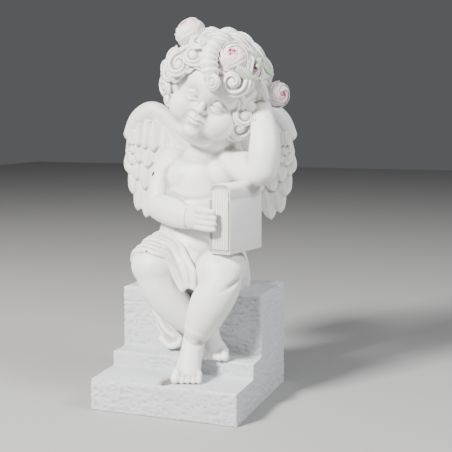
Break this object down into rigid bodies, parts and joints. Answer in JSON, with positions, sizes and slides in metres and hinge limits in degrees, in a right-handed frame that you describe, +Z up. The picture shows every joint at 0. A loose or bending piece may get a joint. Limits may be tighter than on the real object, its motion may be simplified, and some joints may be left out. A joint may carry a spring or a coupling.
{
  "type": "seated cherub garden statue",
  "caption": "Winged cherub seated on stepped stone, one hand in its rose-dressed curls, the other holding a closed book on its knee.",
  "frame": {"origin": "centre of the base's flat underside", "axes": "+X to the viewer's right along the front step, -Y to the front, +Z up"},
  "size_m": [0.2287, 0.2028, 0.4501],
  "materials": {
    "white_cast_stone": "matt white bisque with a faint sheen, tinted roses and leaves"
  },
  "bodies": {
    "root": {"cherub_statue": "white_cast_stone"}
  },
  "joints": []
}
